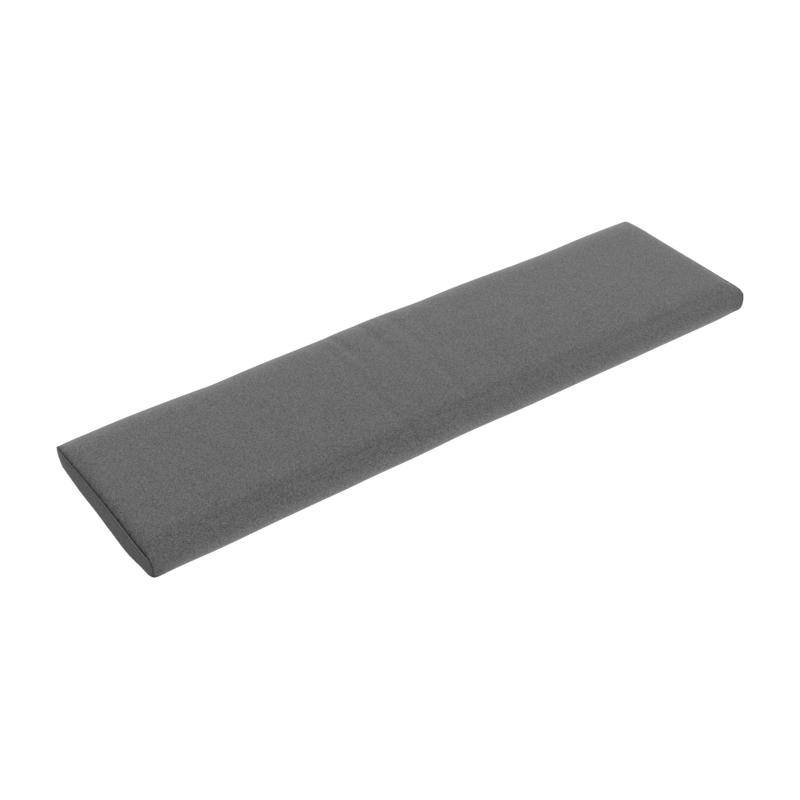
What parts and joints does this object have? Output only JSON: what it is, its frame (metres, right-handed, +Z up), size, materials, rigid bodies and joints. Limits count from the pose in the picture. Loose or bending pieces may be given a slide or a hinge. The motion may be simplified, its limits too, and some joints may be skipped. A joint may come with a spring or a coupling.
{
  "type": "bench cushion",
  "caption": "Long flat bench seat cushion: a foam pad in a wrapped cloth cover with full rolled long sides and sewn, slightly swollen end panels. Lies flat on a bench.",
  "frame": {"origin": "the middle of the cushion's footprint, on the surface that it lies on", "axes": "+X runs along the cushion, away from the end panel that the picture shows; +Y runs across it from the front long side to the back one; +Z is up, out of the top"},
  "size_m": [1.1598, 0.3234, 0.0527],
  "materials": {
    "wrap_cloth": "plain-woven heathered mid-grey cloth, matt, filled with foam",
    "panel_cloth": "the same plain-woven heathered mid-grey cloth, sewn in as a flat strip"
  },
  "bodies": {
    "root": {"padded_body": "wrap_cloth", "end_panel_left": "panel_cloth", "end_panel_right": "panel_cloth"}
  },
  "joints": []
}
